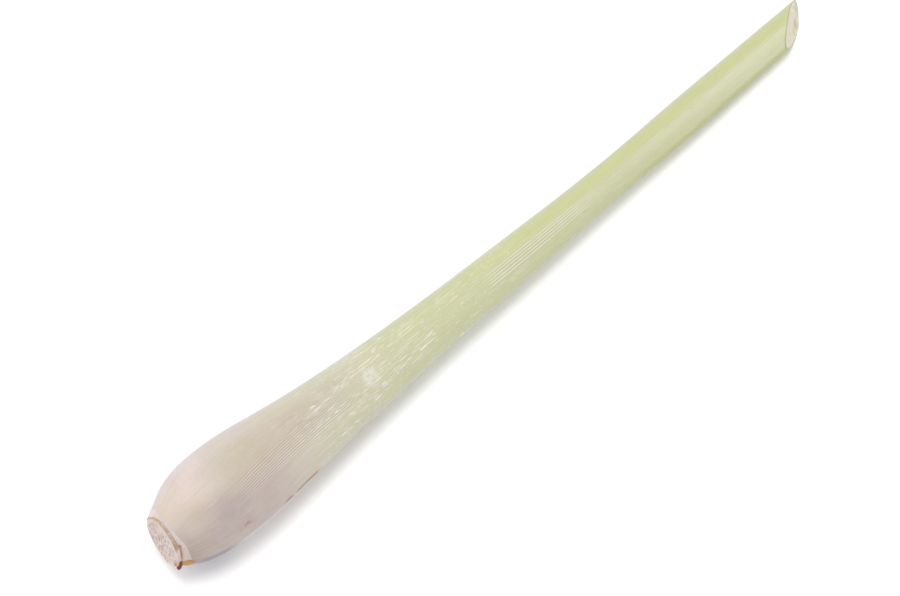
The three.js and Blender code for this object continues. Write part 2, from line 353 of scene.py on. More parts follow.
def place(station, bearing, radius):
    """Points in the frame: the radius turned to the bearing, narrowed by the flattening, squashed under the
    axis where the stalk is pressed, set on the swaying and sloping axis at the leaned station, and never
    under the surface."""
    station, bearing, radius = np.broadcast_arrays(station, bearing, radius)
    angle = np.radians(bearing)
    oval = 1 + FLATTENING * (np.cos(2 * angle) - 1)
    y, z = np.cos(angle) * radius * oval, np.sin(angle) * radius * oval
    room = axis_height(lean(station, y, z)) + PRESSED_DEPTH * girth(station) / BULB_RADIUS
    squash = np.minimum(room / (girth(station) * (1 - 2 * FLATTENING)), 1)
    z = np.where(z < 0, z * squash, z)
    s = lean(station, y, z)
    axis_y = MM * along(SWAY_MM, s / STALK_LENGTH)
    return np.stack([ROOT_FACE_X + s, axis_y + y, np.maximum(axis_height(s) + z, 0)], -1)


def sheet_bearing(layer, breadth, share):
    """The bearing of a breadth on a sheet: from the under margin to the over margin as a mix of the breadth
    and its fourth power, whose weight keeps the outer sheath's rib band on its own line."""
    over = along(OVER_MARGINS[layer], share)
    under = over - 360 - along(LAPS[layer], share)
    if layer > 0:
        return under + (over - under) * breadth
    middle = RIB_MIDDLE / SHEET_DEGREES
    reached = (along(RIB_BEARING, share) - under) / (over - under)
    weight = (middle - reached) / (middle - middle**SHEET_BEND)
    return under + (over - under) * ((1 - weight) * breadth + weight * breadth**SHEET_BEND)


def sheet_point(station, bearing):
    """The place on the outer sheath's map of a station and a bearing."""
    breadth = np.linspace(0, 1, 2000)
    share = station / STALK_LENGTH
    return float(np.interp(bearing, sheet_bearing(0, breadth, share), breadth)), float(share)


def skin_start(bearing):
    """The station where the skin starts round the root end."""
    return MM * along(SKIN_START_MM, np.mod(bearing, 360))


def bevel_start(bearing):
    """The station where the pared bevel starts beside the root cut."""
    return MM * along(BEVEL_START_MM, np.mod(bearing, 360))


def stem_bulge(bearing):
    """The stem's own unevenness round the cut: a little wider on its far upper side."""
    return 1 + 0.04 * bearing_hump(bearing, 58, 34)


# ---------------- meshes

def make_piece(name, points, faces, materials, uv, slots=None, marks=None, rim=None):
    """A mesh object from points and lists of faces.

    uv holds a pair for each point, or for each corner of each face. slots holds the material of each face,
    marks the values of each point by name, and rim the points whose shared edges stay crisp.
    """
    mesh = bpy.data.meshes.new(name)
    corners = np.concatenate([f.ravel() for f in faces]).astype(np.int32)
    counts = np.concatenate([np.full(len(f), f.shape[1]) for f in faces])
    mesh.vertices.add(len(points))
    mesh.vertices.foreach_set("co", np.asarray(points, np.float32).ravel())
    mesh.loops.add(len(corners))
    mesh.loops.foreach_set("vertex_index", corners)
    mesh.polygons.add(len(counts))
    mesh.polygons.foreach_set("loop_start", (np.cumsum(counts) - counts).astype(np.int32))
    mesh.update(calc_edges=True)
    mesh.polygons.foreach_set("use_smooth", np.ones(len(counts), bool))
    uv = np.asarray(uv, np.float32)
    per_corner = uv[corners] if len(uv) == len(points) else uv
    mesh.uv_layers.new(name="UVMap").uv.foreach_set("vector", per_corner.ravel())
    for material in materials:
        mesh.materials.append(material)
    if slots is not None:
        mesh.polygons.foreach_set("material_index", np.asarray(slots, np.int32))
    for mark, values in (marks or {}).items():
        held = mesh.attributes.new(mark, "FLOAT", "POINT")
        held.data.foreach_set("value", values.astype(np.float32).ravel())
    if rim is not None:
        ends = np.zeros(len(mesh.edges) * 2, np.int32)
        mesh.edges.foreach_get("vertices", ends)
        crisp = rim[ends].reshape(-1, 2).all(1)
        mesh.attributes.new("sharp_edge", "BOOLEAN", "EDGE").data.foreach_set("value", crisp)
    if mesh.validate():
        raise RuntimeError(f"{name}: its mesh had faults")
    piece = bpy.data.objects.new(name, mesh)
    bpy.context.scene.collection.objects.link(piece)
    return piece


def grid_faces(rows, columns, close_rows=False):
    """Quads of a grid whose columns close on themselves, and whose rows may too, with the grid place of
    each corner for a map that must not close."""
    j, i = np.meshgrid(np.arange(rows if close_rows else rows - 1), np.arange(columns), indexing="ij")
    corner_j = np.stack([j, j, j + 1, j + 1], -1).reshape(-1, 4)
    corner_i = np.stack([i, i + 1, i + 1, i], -1).reshape(-1, 4)
    return (corner_j % rows) * columns + corner_i % columns, corner_j, corner_i


def turned_solid(name, points, poles, material, marks=None, rim=None):
    """A closed solid from a grid of points whose columns run round it, with one pole at each end.

    Its map runs round from 0 to 1 and along the rows from 0 to 1.
    """
    rows, columns = points.shape[:2]
    quads, corner_j, corner_i = grid_faces(rows, columns)
    here = np.arange(columns)
    after = (here + 1) % columns
    last = (rows - 1) * columns
    first_fan = np.stack([np.full(columns, rows * columns), after, here], 1)
    last_fan = np.stack([np.full(columns, rows * columns + 1), last + here, last + after], 1)

    def fan_uv(end, first, second):
        """The map of a fan of triangles: the pole in the middle of its step, and the step's two ends."""
        around = np.stack([here + 0.5, first, second], 1) / columns
        return np.stack([around, np.full(around.shape, end)], -1)

    quad_uv = np.stack([corner_i / columns, corner_j / (rows - 1)], -1)
    maps = [quad_uv, fan_uv(0.0, here + 1, here), fan_uv(1.0, here, here + 1)]
    uv = np.concatenate([part.reshape(-1, 2) for part in maps])
    everything = np.concatenate([points.reshape(-1, 3), poles])
    full_marks = {}
    for mark, values in (marks or {}).items():
        full_marks[mark] = np.append(values.ravel(), [values[0].mean(), values[-1].mean()])
    crisp = None if rim is None else np.append(rim.ravel(), [False, False])
    faces = [quads, first_fan, last_fan]
    return make_piece(name, everything, faces, [material], uv, marks=full_marks, rim=crisp)


def zip_rows(outer, outer_place, inner, inner_place):
    """Triangles between two rows with different counts of points: the middles of all their steps are
    taken in order, and each step is joined to the point that the other row has reached by then."""
    outer_middle = (outer_place[1:] + outer_place[:-1]) / 2
    inner_middle = (inner_place[1:] + inner_place[:-1]) / 2
    reached_inner = np.searchsorted(inner_middle, outer_middle, side="left")
    reached_outer = np.searchsorted(outer_middle, inner_middle, side="right")
    by_outer = np.stack([outer[:-1], outer[1:], inner[reached_inner]], 1)
    by_inner = np.stack([outer[reached_outer], inner[1:], inner[:-1]], 1)
    return np.concatenate([by_outer, by_inner])


# ---------------- materials

def tone(name):
    """One of the stalk's colours by its name, with full alpha."""
    return (*getattr(bpy.context.scene.stalk_colours, name), 1.0)


class Finish:
    """A node material in the making. Its colour starts as a ground, and others are painted over it. Each
    method that adds nodes for a value returns the socket that gives it."""

    def __init__(self, name, ground, roughness, subsurface=0.0, specular=0.5):
        self.material = bpy.data.materials.new(name)
        self.material.use_nodes = True
        self.tree = self.material.node_tree
        self.shader = self.tree.nodes["Principled BSDF"]
        self.colour = tone(ground)
        self.set_shader("Roughness", roughness)
        self.set_shader("Specular IOR Level", specular)
        self.set_shader("Subsurface Weight", subsurface)
        self.set_shader("Subsurface Radius", (1.0, 0.8, 0.5))
        self.set_shader("Subsurface Scale", 0.8 * MM)

    def feed(self, socket, value):
        """Links a socket, or sets its value."""
        if isinstance(value, bpy.types.NodeSocket):
            self.tree.links.new(value, socket)
        else:
            socket.default_value = value

    def set_shader(self, name, value):
        """Feeds one of the shader's sockets."""
        self.feed(self.shader.inputs[name], value)

    def add(self, kind, sockets=None, **settings):
        """Adds a node with its settings, and feeds its sockets by name or number."""
        node = self.tree.nodes.new(kind)
        for key, value in settings.items():
            setattr(node, key, value)
        for key, value in (sockets or {}).items():
            self.feed(node.inputs[key], value)
        return node

    def sheet(self):
        """The place on the piece's own map."""
        return self.add("ShaderNodeUVMap").outputs["UV"]

    def in_frame(self):
        """The place in the frame."""
        return self.add("ShaderNodeTexCoord").outputs["Object"]

    def mark(self, name):
        """A value that the mesh holds for each point."""
        return self.add("ShaderNodeAttribute", attribute_name=name).outputs["Fac"]

    def split(self, vector):
        """The first two parts of a vector."""
        node = self.add("ShaderNodeSeparateXYZ", {0: vector})
        return node.outputs["X"], node.outputs["Y"]

    def stretch(self, vector, scale, shift):
        """A vector scaled and then shifted."""
        return self.add("ShaderNodeMapping", {"Vector": vector, "Scale": scale, "Location": shift}).outputs[0]

    def noise(self, vector, scale, detail=2.0, roughness=0.5, shift=(0, 0, 0)):
        """Smooth seeded noise about one half, with one scale, or with one for each axis and a shift."""
        if isinstance(scale, tuple):
            vector = self.stretch(vector, scale, shift)
            scale = 1.0
        sockets = {"Vector": vector, "Scale": scale, "Detail": detail, "Roughness": roughness}
        return self.add("ShaderNodeTexNoise", sockets).outputs["Fac"]

    def distance(self, vector, other=(0, 0, 0)):
        """The distance between two places."""
        return self.add("ShaderNodeVectorMath", {0: vector, 1: other}, operation="DISTANCE").outputs["Value"]

    def calc(self, operation, *values):
        """Arithmetic on one to three values."""
        return self.add("ShaderNodeMath", dict(enumerate(values)), operation=operation).outputs[0]

    def chain(self, operation, first, *others):
        """Arithmetic that takes in several values one after another."""
        total = first
        for value in others:
            total = self.calc(operation, total, value)
        return total

    def times(self, *values):
        """The product of several values."""
        return self.chain("MULTIPLY", *values)

    def wobble(self, noise, amount):
        """Noise moved to lie about 0, times an amount."""
        return self.times(self.calc("SUBTRACT", noise, 0.5), amount)

    def rise(self, value, low, high, bottom=0.0, top=1.0):
        """A smooth step from bottom at low to top at high."""
        sockets = {"Value": value, "From Min": low, "From Max": high, "To Min": bottom, "To Max": top}
        return self.add("ShaderNodeMapRange", sockets, interpolation_type="SMOOTHSTEP").outputs["Result"]

    def window(self, value, low, high, soft):
        """1 between low and high, and 0 beyond soft edges."""
        up = self.rise(value, low - soft, low + soft)
        return self.times(up, self.rise(value, high + soft, high - soft))

    def zone(self, value, *limits):
        """A rise between two limits, or a window where a third says how soft its edges are."""
        return self.window(value, *limits) if len(limits) == 3 else self.rise(value, *limits)

    def spot(self, uv, middle, size, edge=0.5):
        """1 inside an oval of a given middle and half sizes on the map, and 0 outside."""
        scale = (1 / size[0], 1 / size[1], 0)
        shift = (-middle[0] / size[0], -middle[1] / size[1], 0)
        return self.rise(self.distance(self.stretch(uv, scale, shift)), 1.0, edge)

    def paint(self, name, *amounts):
        """Lays a colour over those before it, as strongly as the product of the amounts."""
        sockets = {0: self.times(*amounts), 6: self.colour, 7: tone(name)}
        self.colour = self.add("ShaderNodeMix", sockets, data_type="RGBA").outputs[2]

    def finish(self, height=None, relief=0.0, strength=1.0):
        """Sets the colour, and where a height is given the bump, and returns the material."""
        self.set_shader("Base Color", self.colour)
        if height is not None:
            bump = self.add("ShaderNodeBump", {"Height": height, "Distance": relief, "Strength": strength})
            self.set_shader("Normal", bump.outputs["Normal"])
        return self.material


class SkinFinish(Finish):
    """The waxy skin in the making. Its layers share the sheet's map, two marks and a few seeded noises."""

    def __init__(self):
        super().__init__("waxy_skin", "bulb_cream", 0.5, subsurface=0.08, specular=0.3)
        self.map = self.sheet()
        self.across, self.share = self.split(self.map)
        self.bearing = self.mark("bearing")
        self.rib = self.mark("rib")
        self.broad = self.noise(self.map, (9, 7, 1), 3)
        self.streaks = self.noise(self.map, (150, 10, 1), 3, 0.6)
        self.fine = self.noise(self.map, (420, 30, 1))
        self.grain = self.noise(self.map, (170, 240, 1), 3, 0.6)

    def area(self, along_stalk, round_stalk):
        """The product of a zone along the stalk and a zone round it."""
        return self.times(self.zone(self.share, *along_stalk), self.zone(self.bearing, *round_stalk))

    def bloom(self):
        """A thin pale sheen, strongest at grazing angles, as fine wax gives."""
        self.set_shader("Sheen Weight", 0.5)
        self.set_shader("Sheen Roughness", 0.3)
        self.set_shader("Sheen Tint", tone("bloom_blue"))

    def paint_patches(self):
        """The cream of the bulb turns to beige and to green along an uneven border, and the broad patches
        lie over them, each as strong as its zones along and round the stalk, its clouds and its amount. Some
        patches are painted shade low on the bulb and under the slender part, and one is partly a painted
        highlight along its midrib."""
        uneven = self.calc("ADD", self.share, self.wobble(self.broad, 0.16))
        self.paint("shoulder_beige", self.rise(uneven, 0.09, 0.24))
        self.paint("leaf_green", self.rise(uneven, 0.17, 0.4))
        clouds = self.noise(self.in_frame(), 130, 3)
        for name, along_stalk, round_stalk, cloudy, amount in SKIN_PATCHES:
            thinned = self.rise(clouds, *cloudy) if cloudy else 1.0
            self.paint(name, self.area(along_stalk, round_stalk), thinned, amount)

    def paint_veins(self):
        """Streaks, grain and fine pale lines along the stalk, and painted shade in the ribs' furrows and a
        painted highlight on their backs.
        """
        self.paint("vein_and_furrow_shade", self.rise(self.streaks, 0.5, 0.72, 0.0, 0.16))
        self.paint("vein_and_furrow_shade", self.rise(self.grain, 0.5, 0.72, 0.0, 0.14))
        self.paint("wax_and_rib_highlight", self.rise(self.fine, 0.52, 0.75, 0.0, 0.16))
        lively = self.rise(self.broad, 0.3, 0.6, 0.55, 1.0)
        # painted shade in the furrows between the ribs, and a painted highlight on their backs
        self.paint("vein_and_furrow_shade", self.rise(self.rib, 0.0, -1.0, 0.0, 0.75), lively)
        self.paint("wax_and_rib_highlight", self.rise(self.rib, 0.1, 1.0, 0.0, 0.5), lively)

    def wax_dashes(self, flock):
        """Short, thin and grainy dashes: the peaks of the largest of three stretched noises, lifted in
        flocks and groups, and broken by a fourth noise."""
        crowded = self.times(self.chain("ADD", *(self.area(*group) for group in WAX_GROUPS)), 0.045)
        lift = self.calc("ADD", self.rise(flock, 0.36, 0.64, -0.05, 0.04), crowded)
        kinds = []
        for scale, shift, added in WAX_DASHES:
            kinds.append(self.calc("ADD", self.noise(self.map, scale, 0, shift=shift), added))
        peaks = self.calc("ADD", self.chain("MAXIMUM", *kinds), lift)
        broken = self.noise(self.map, (215, 75, 1), 0, shift=(2.2, 6.4, 0))
        return self.times(self.rise(peaks, 0.7, 0.75), self.rise(broken, 0.44, 0.58, 0.1, 1.0))

    def scuff(self):
        """A ragged oval where the wax is rubbed to a dull white."""
        station, low, high, half_length = SCUFFED_PLACE
        left, share = sheet_point(station, low)
        right = sheet_point(station, high)[0]
        size = ((right - left) * 0.85, half_length / STALK_LENGTH)
        oval = self.spot(self.map, ((left + right) / 2, share), size, 0.3)
        ragged = self.rise(self.noise(self.map, (40, 130, 1)), 0.34, 0.56, 0.25, 0.85)
        return self.times(oval, ragged, self.rise(self.grain, 0.35, 0.6, 0.4, 0.8))

    def paint_wax(self):
        """White wax: the largest of the dashes, a dust between them and the scuffed place."""
        waxed = self.times(self.rise(self.share, 0.12, 0.25), self.rise(self.share, 0.6, 0.38, 0.15, 1.0))
        flock = self.noise(self.map, (16, 9, 1), shift=(5.3, 1.9, 0))
        dashes = self.times(self.wax_dashes(flock), waxed)
        speckled = self.times(self.rise(self.grain, 0.48, 0.64), self.rise(self.fine, 0.4, 0.6))
        dust = self.times(speckled, waxed, self.rise(flock, 0.4, 0.6, 0.25, 0.5))
        wax = self.chain("MAXIMUM", dashes, dust, self.scuff())
        self.paint("wax_and_rib_highlight", wax, 0.8)
        return wax

    def paint_margins(self):
        """The over margin, stained in one ragged stretch and dry at its very edge, the lower edge of the
        slender part near the tip, darker and yellower, partly its own colour and partly painted shade, and
        the green rim of the leaf cut."""
        torn = self.calc("ADD", self.across, self.wobble(self.streaks, 0.02))
        blotches = self.rise(self.noise(self.map, (20, 60, 1), shift=(0, 0.4, 0)), 0.36, 0.5)
        stretch = self.window(self.share, 0.127, 0.18, 0.006)
        self.paint("margin_brown", self.rise(torn, 0.981, 0.993), stretch, blotches, 0.85)
        self.paint("margin_dry_and_edge_shade", self.rise(self.across, 0.992, 1.0), self.rise(self.share, 0.1, 0.2), 0.5)
        # partly painted shade: the slender part's lower edge near the tip, darker and yellower, in the dry
        # margin's colour
        self.paint("margin_dry_and_edge_shade", self.area((0.62, 0.78), (167, 220, 15)), 0.8)
        self.paint("rim_green", self.rise(self.share, 0.9965, 0.9995, 0.0, 0.9))

    def paint_scars(self):
        """Small brown ovals, mottled by a noise."""
        mottled = self.rise(self.noise(self.map, (120, 140, 1), 3), 0.42, 0.58, 0.1, 1.0)
        for station, bearing, half_length, half_breadth, amount in SKIN_SCARS:
            size = (half_breadth, half_length / STALK_LENGTH)
            scar = self.spot(self.map, sheet_point(station, bearing), size)
            self.paint("margin_brown", scar, mottled, amount)


def skin_material():
    """The waxy skin, whose bump adds up its fine lines, its streaks and the wax or the grain."""
    f = SkinFinish()
    f.bloom()
    f.paint_patches()
    f.paint_veins()
    wax = f.paint_wax()
    f.paint_margins()
    f.paint_scars()
    raised = f.times(f.calc("MAXIMUM", wax, f.grain), 0.4)
    height = f.chain("ADD", f.times(f.fine, 0.5), f.times(f.streaks, 0.8), raised)
    f.set_shader("Roughness", f.rise(wax, 0.0, 1.0, 0.5, 0.75))
    return f.finish(height, 0.05 * MM, 0.5)


def brown_the_cut(f):
    """Browns a finish within the uneven reach of the listed places in the leaf cut."""
    here = f.in_frame()
    uneven = f.times(f.noise(here, 700), 0.9 * MM)
    for middle, reach, amount in CUT_STAINS:
        away = f.calc("ADD", f.distance(here, Vector(middle) * MM), uneven)
        f.paint("heart_brown", f.rise(away, (reach + 0.45) * MM, 0.5 * MM), amount)


def flesh_material(name="cut_flesh", rim=0.75):
    """Freshly cut sheath: a thin green line under the skin, and moist white flesh with fine strands."""
    f = Finish(name, "flesh_white", 0.5, subsurface=0.1)
    here = f.in_frame()
    depth = f.mark("depth")
    strands = f.noise(here, (900, 2600, 2600), 3, 0.6)
    f.paint("flesh_warm", f.rise(strands, 0.45, 0.7, 0.0, 0.6))
    f.paint("heart_pink", f.rise(f.noise(here, 600), 0.52, 0.7, 0.0, 0.5))
    lines = f.window(f.calc("FRACT", f.times(depth, 2.4)), 0.42, 0.58, 0.12)
    f.paint("flesh_line", lines, 0.22)
    f.paint("rim_green", f.rise(depth, 0.26, 0.04, 0.0, rim))
    f.paint("flesh_line", f.rise(f.split(here)[0], 105.0 * MM, 108.0 * MM, 0.0, 0.7))
    brown_the_cut(f)
    return f.finish(strands, 0.08 * MM, 0.6)


def inner_skin_material():
    """The moist pale skin of the inner sheaths."""
    f = Finish("inner_skin", "flesh_white", 0.45, subsurface=0.1)
    sheet = f.sheet()
    streaks = f.noise(sheet, (120, 6, 1), 3)
    f.paint("leaf_pale_and_highlight", f.rise(f.split(sheet)[1], 0.1, 0.5))
    f.paint("leaf_green", f.rise(streaks, 0.45, 0.7, 0.0, 0.6))
    return f.finish(streaks, 0.05 * MM, 0.5)


def heart_material():
    """The tight young roll: pale cream along it, and pink brown towards the middle of its cut end."""
    f = Finish("heart_roll", "flesh_white", 0.5, subsurface=0.1)
    grain = f.noise(f.in_frame(), (900, 2200, 2200), 3)
    depth = f.mark("depth")
    f.paint("heart_pink", f.rise(depth, 0.0, 0.35, 0.0, 0.6))
    f.paint("heart_brown", f.rise(grain, 0.45, 0.7), f.rise(depth, 0.1, 0.6), 0.3)
    brown_the_cut(f)
    return f.finish(grain, 0.08 * MM, 0.5)


def stem_material():
    """The root cut: pink cream pith with brown pits, a smooth pale band round it, a darker tan side, an
    orange stain on one part of its rim, and a dark red brown scorch under the nub."""
    f = Finish("cut_stem", "stem_cream", 0.62, subsurface=0.05)
    here = f.in_frame()
    grain = f.noise(here, (700, 1500, 1500), 4, 0.65)
    flecks = f.noise(here, (600, 2300, 900), shift=(0.3, 0.1, 0.2))
    pith = f.mark("pith")
    f.paint("stem_pink", f.rise(grain, 0.4, 0.62))
    f.paint("stem_fleck", f.rise(flecks, 0.56, 0.68), pith, 0.7)
    f.paint("cortex_pale", f.rise(pith, 0.7, 0.1, 0.0, 0.75))
    f.paint("pit_brown", f.mark("pit"), 0.9)
    # darker tan, mottled, on the stem's side beyond the cut
    f.paint("stem_side", f.mark("side"), f.rise(f.noise(here, 900, 3), 0.36, 0.58, 0.5, 1.0))
    f.paint("rim_orange", f.mark("stain"), 0.95)
    f.paint("scorch_brown", f.mark("scorch"))
    height = f.calc("ADD", grain, f.times(f.rise(flecks, 0.5, 0.7), pith, -0.8))
    return f.finish(height, 0.12 * MM, 0.7)


def nub_material(middle_x):
    """The nub: pink with brown flecks, browner on the side that faces away from the stalk."""
    f = Finish("stem_nub", "nub_pink", 0.6, subsurface=0.05)
    here = f.in_frame()
    grain = f.noise(here, 1500, 3)
    f.paint("stem_fleck", f.rise(grain, 0.45, 0.7, 0.0, 0.8))
    f.paint("stem_fleck", f.rise(f.split(here)[0], middle_x - 0.2 * MM, middle_x - 0.7 * MM), 0.9)
    return f.finish(grain, 0.08 * MM, 0.6)


def stub_material():
    """The pared stub: moist white flesh, pink at its lip and greyed with painted shade on its lower facet,
    with a brown crease along one facet.
    """
    f = Finish("pared_stub", "stub_white", 0.5, subsurface=0.1)
    grain = f.noise(f.in_frame(), 1100, 3)
    f.paint("stub_pink", f.mark("lip"), f.rise(grain, 0.3, 0.6, 0.5, 1.0))
    # painted shade: the white flesh darkened to grey on the lower pared facet
    f.paint("stub_facet_shade", f.mark("facet"))
    f.paint("crease_brown", f.mark("crease"))
    return f.finish(grain, 0.05 * MM, 0.5)


def husk_material():
    """The dried tatter: golden with pale fibres along it, brown edges and a scorched end."""
    f = Finish("dried_husk", "husk_gold", 0.6)
    sheet = f.sheet()
    fibres = f.noise(sheet, (34, 2.2, 1), 3, 0.6)
    f.paint("husk_pale", f.rise(fibres, 0.45, 0.7, 0.0, 0.7))
    f.paint("husk_brown", f.rise(f.mark("edge"), 0.55, 1.05))
    f.paint("scorch_brown", f.rise(f.split(sheet)[1], 0.36, 0.2))
    return f.finish(fibres, 0.1 * MM, 0.7)


# ---------------- settings

def length(name, description, default):
    """A length that a user may change."""
    return FloatProperty(
        name=name, description=description, default=default, min=0.0, unit="LENGTH", subtype="DISTANCE"
    )


def colour(name, description, code):
    """A colour that a user may change. Its default comes from its six-figure screen code, turned from the
    screen's curve to linear red, green and blue."""
    screen = np.array([int(code[i:i + 2], 16) for i in (0, 2, 4)]) / 255
    linear = tuple(np.where(screen <= 0.04045, screen / 12.92, ((screen + 0.055) / 1.055) ** 2.4))
    return FloatVectorProperty(
        name=name, description=description, default=linear, min=0.0, max=1.0, size=3, subtype="COLOR"
    )


class StalkSizes(bpy.types.PropertyGroup):
    """Sizes of the details that the looks add to the frame."""

    rib_height: length("Rib height", "Half of the height of the ribs on the bulb", 0.048 * MM)
    swell_height: length("Swell height", "Height of the skin's broad unevenness", 0.05 * MM)
    pit_depth: length("Pit depth", "Depth of the pits in the root cut", 0.11 * MM)
    nub_radius: length("Nub radius", "Radius of the pale nub at the root cut's edge", 0.68 * MM)
    husk_thickness: length("Husk thickness", "Thickness of the dried husk", 0.34 * MM)


class StalkColours(bpy.types.PropertyGroup):
    """Colours of the stalk's skin, flesh and dried parts."""

    bulb_cream: colour("Bulb cream", "Skin of the bulb", "bdb3a8")
    foot_beige: colour("Foot beige", "Skin next to the root cut", "c2b29d")
    # partly painted shade on the bulb's lower side, over a grey pink blush
    bulb_blush_and_shade: colour("Bulb blush", "Grey pink flush on the lower side of the bulb", "ab9d95")
    bulb_pink: colour("Bulb pink", "Rosy patches on the bulb", "c8bab4")
    # partly painted shade low on the bulb, in mauve
    bulb_mauve_and_shade: colour("Bulb mauve", "Mauve cloud low on the bulb", "918184")
    shoulder_beige: colour("Shoulder beige", "Skin above the bulb", "b8b29c")
    shoulder_tan: colour("Shoulder tan", "Yellower skin on top of the shoulder", "aea28e")
    # partly painted shade low beside the root cut, over browner skin
    heel_brown_and_shade: colour("Heel brown", "Browner skin low beside the root cut", "988576")
    # painted shade along the bulb's low edge, in grey purple
    under_edge_shade: colour("Under grey", "Grey purple edge low on the bulb", "7d7175")
    leaf_green: colour("Leaf green", "Skin of the slender part", "b4b68e")
    # partly a painted highlight along the slender part's midrib; the inner sheaths use it as their plain pale
    # skin
    leaf_pale_and_highlight: colour("Leaf pale", "Lighter band along the slender part", "bbbc9a")
    tip_pale: colour("Tip pale", "Paler skin near the leaf cut", "c8c9a8")
    leaf_rich: colour("Leaf rich", "Stronger yellow green band", "b5b97c")
    # partly painted shade on the slender part's underside, over greener skin
    leaf_shade: colour("Leaf shade", "Greener underside of the slender part", "adb07d")
    # dark streaks and grain, and painted shade in the ribs' furrows
    vein_and_furrow_shade: colour("Vein", "Furrows between the veins", "988574")
    bloom_blue: colour("Bloom", "Pale bloom of wax, seen at grazing angles", "d3daf5")
    # white wax and fine pale lines, and a painted highlight on the ribs' backs
    wax_and_rib_highlight: colour("Wax", "White wax on the skin", "dbdad5")
    margin_brown: colour("Margin brown", "Stained edge and scars", "926635")
    # the dry edge of the outer sheath, and partly painted shade on the slender part's lower edge near the tip
    margin_dry_and_edge_shade: colour("Margin dry", "Dry edge of the outer sheath", "a8a85a")
    flesh_white: colour("Flesh white", "Cut flesh of the sheaths", "cfc9b4")
    flesh_warm: colour("Flesh warm", "Warmer strands in the cut flesh", "c8c1b2")
    flesh_line: colour("Flesh line", "Thin lines between the leaves", "a8a88d")
    rim_green: colour("Rim green", "Green line under the skin at the leaf cut", "9da067")
    heart_pink: colour("Heart pink", "Cut heart", "d3c4b0")
    heart_brown: colour("Heart brown", "Browned middle of the cut heart", "b99b74")
    stem_cream: colour("Stem cream", "Pith of the root cut", "cfc3ba")
    stem_pink: colour("Stem pink", "Pinker pith", "c3b0a6")
    stem_fleck: colour("Stem fleck", "Small brown flecks in the pith", "a06c54")
    cortex_pale: colour("Cortex pale", "Smooth band round the pith", "c7bbb4")
    pit_brown: colour("Pit brown", "Deepest pits", "8f654c")
    # darker tan on the stem's side beyond the cut
    stem_side: colour("Stem side", "Browned side of the root cut", "9f8168")
    rim_orange: colour("Rim orange", "Orange stain on the rim", "bf9658")
    scorch_brown: colour("Scorch brown", "Dark red brown under the nub", "70291b")
    nub_pink: colour("Nub pink", "The nub at the root cut's edge", "bba48f")
    stub_white: colour("Stub white", "Pared stub", "c8c0bb")
    stub_pink: colour("Stub pink", "Lip of the pared stub", "bdb0aa")
    # painted shade on the lower pared facet
    stub_facet_shade: colour("Stub grey", "Lower pared facet", "b7aba2")
    crease_brown: colour("Crease brown", "Brown crease beside the facet", "8a6030")
    husk_gold: colour("Husk gold", "Dried husk", "ad7d35")
    husk_pale: colour("Husk pale", "Pale fibres of the husk", "be9f67")
    husk_brown: colour("Husk brown", "Edges of the husk", "a5682f")
    floor_white: colour("Floor", "The plain floor", "fafafa")


def sizes():
    """The sizes of the present scene."""
    return bpy.context.scene.stalk_sizes


def wear(piece, slot, *nodes):
    """Rides a piece on the stalk's one body, and lets it stand for its CAD nodes, which it hides."""
    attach(piece, "root")
    if nodes:
        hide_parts(*nodes)


# ---------------- the rolled sheaths

def rib_relief(breadth, share):
    """The relief of the ribs, where 1 is their set height: cosine waves across the sheet, fine on the bulb
    and coarser on the slender part, each group in its band or bell across the sheet and its band along it."""
    across = breadth * SHEET_DEGREES
    station_mm = share * STALK_LENGTH / MM
    drift = waves(across / 6, station_mm / 14, 7, 1.6, 31)
    main = band(across, 330, 338, 357, 366) * band(station_mm, 10, 25, 38, 72)
    upper = 0.75 * hump(across, 293, 7) * band(station_mm, 8, 14, 24, 34)
    leaf = band(across, 331, 337, 357, 363) * band(station_mm, 95, 102, 112, 150)
    ribs = np.cos(2 * np.pi * across / RIB_PITCH) * (main + upper) * (0.85 + 0.3 * drift)
    leaf_ribs = np.maximum(np.cos(2 * np.pi * (across - RIB_MIDDLE) / LEAF_RIB_PITCH), -0.2)
    return ribs + 1.5 * leaf_ribs * leaf


def skin_relief(breadth, share, bearing):
    """The skin's relief, and its ribs alone: the ribs, a broad seeded unevenness, and a swelling of the low
    side above the bulb, as two bells along the stalk times one round it."""
    rib = rib_relief(breadth, share)
    uneven = waves(breadth * 82, share * STALK_LENGTH / MM / 5, 12, 7, 5)
    low_side = sum(height * hump(share, middle, reach) for height, middle, reach in LOW_SWELLS)
    swell = sizes().swell_height * uneven + low_side * bearing_hump(bearing, *LOW_SIDE)
    return sizes().rib_height * rib + swell, rib


def no_relief(breadth, share, bearing):
    """The smooth face of an inner sheath: no relief and no ribs."""
    return 0 * bearing, 0 * bearing


def sheath_radii(layer, station, breadth):
    """The outer and the inner radius of a sheath. The outer one is the layer's radius, less a drop where the
    over margin covers it. The inner one is a wall less, and the wall thins towards both margins."""
    share = station / STALK_LENGTH
    lap = along(LAPS[layer], share)
    turn = sheet_bearing(layer, breadth, share) - (along(OVER_MARGINS[layer], share) - 360 - lap)
    drop = MARGIN_WALL + LAP_GAP
    outer = layer_radius(layer, station) - drop * (1 - smooth(turn, lap + 3, lap + 28))
    thickness = wall(layer, station)
    inner = layer_radius(layer, station) - thickness
    inner = inner + (1 - smooth(turn, 0, MARGIN_TAPER)) * (thickness - drop - MARGIN_WALL)
    return outer, inner + smooth(turn, 359.7 - MARGIN_TAPER, 359.7) * (thickness - MARGIN_WALL)


